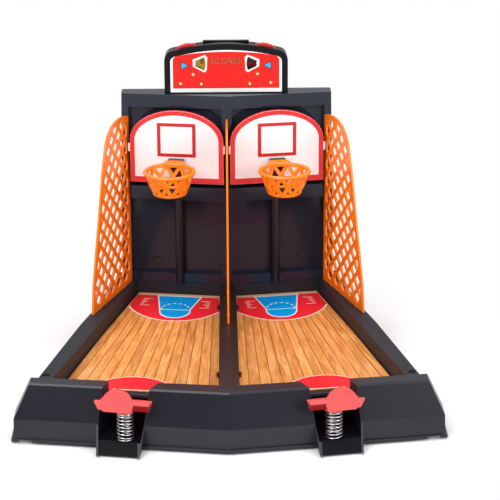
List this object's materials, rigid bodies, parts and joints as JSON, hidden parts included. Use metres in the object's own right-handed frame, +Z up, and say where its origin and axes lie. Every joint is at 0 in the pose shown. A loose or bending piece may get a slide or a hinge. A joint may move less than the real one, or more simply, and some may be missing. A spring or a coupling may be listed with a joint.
{
  "type": "tabletop basketball game",
  "caption": "Two-player tabletop basketball game: sloping court lanes, press-down launchers, hoops on backboards, side nets and a scoreboard with dials.",
  "frame": {"origin": "centre of the footprint, on the table under the feet", "axes": "+X to the player's right, +Y from the player towards the hoops, +Z up"},
  "size_m": [0.3406, 0.3086, 0.2566],
  "materials": {
    "black_plastic": "fine moulded texture",
    "gloss_black_plastic": "smooth moulded panels",
    "orange_plastic": "glossy moulding",
    "red_plastic": "glossy moulding",
    "court_card": "printed card",
    "board_plastic": "white with a printed border",
    "sticker": "printed sticker",
    "steel": "plain wire and screws",
    "rubber": "matt pad"
  },
  "bodies": {
    "machine": {"back_screw_high_left": "steel", "back_screw_high_right": "steel", "back_screw_low_left": "steel", "back_screw_low_right": "steel", "backboard_left": "board_plastic", "backboard_right": "board_plastic", "board_mount_left": "black_plastic", "board_mount_right": "black_plastic", "bottom_cover": "black_plastic", "cabinet_back": "black_plastic", "cabinet_shell": "gloss_black_plastic", "centre_divider": "black_plastic", "clip_back_left": "black_plastic", "clip_back_right": "black_plastic", "clip_front_left": "black_plastic", "clip_front_right": "black_plastic", "court_left": "court_card", "court_right": "court_card", "court_tray": "black_plastic", "dial_pin_left": "steel", "dial_pin_right": "steel", "foot_back_left": "rubber", "foot_back_right": "rubber", "foot_front_left": "rubber", "foot_front_right": "rubber", "front_console": "black_plastic", "hoop_bracket_left": "black_plastic", "hoop_bracket_right": "black_plastic", "hoop_left": "orange_plastic", "hoop_right": "orange_plastic", "launcher_pin_left": "steel", "launcher_pin_right": "steel", "net_centre": "orange_plastic", "net_left": "orange_plastic", "net_right": "orange_plastic", "pole_left": "black_plastic", "pole_right": "black_plastic", "rail_screw_left": "steel", "rail_screw_right": "steel", "scoreboard_back": "black_plastic", "scoreboard_front": "black_plastic", "scoreboard_panel": "sticker", "spring_left": "steel", "spring_right": "steel"},
    "launcher_left": {"launcher_left": "red_plastic"},
    "launcher_right": {"launcher_right": "red_plastic"},
    "score_dial_left": {"score_dial_left": "red_plastic"},
    "score_dial_right": {"score_dial_right": "red_plastic"}
  },
  "joints": [
    {"name": "launcher_hinge_left", "type": "hinge", "parent": "machine", "child": "launcher_left", "pos_m": [-0.0755, -0.097, 0.0215], "axis": [0.9781, -0.2079, 0], "range_deg": [0, 18], "stiffness_Nm_per_rad": 0.25, "springref_deg": -8.59, "deforming": ["spring_left"]},
    {"name": "launcher_hinge_right", "type": "hinge", "parent": "machine", "child": "launcher_right", "pos_m": [0.0755, -0.097, 0.0215], "axis": [0.9781, 0.2079, 0], "range_deg": [0, 18], "stiffness_Nm_per_rad": 0.25, "springref_deg": -8.59, "deforming": ["spring_right"]},
    {"name": "score_dial_turn_left", "type": "hinge", "parent": "machine", "child": "score_dial_left", "pos_m": [-0.0315, 0.13935, 0.239], "axis": [0, 1, 0], "continuous": true},
    {"name": "score_dial_turn_right", "type": "hinge", "parent": "machine", "child": "score_dial_right", "pos_m": [0.0315, 0.13935, 0.239], "axis": [0, 1, 0], "continuous": true}
  ]
}
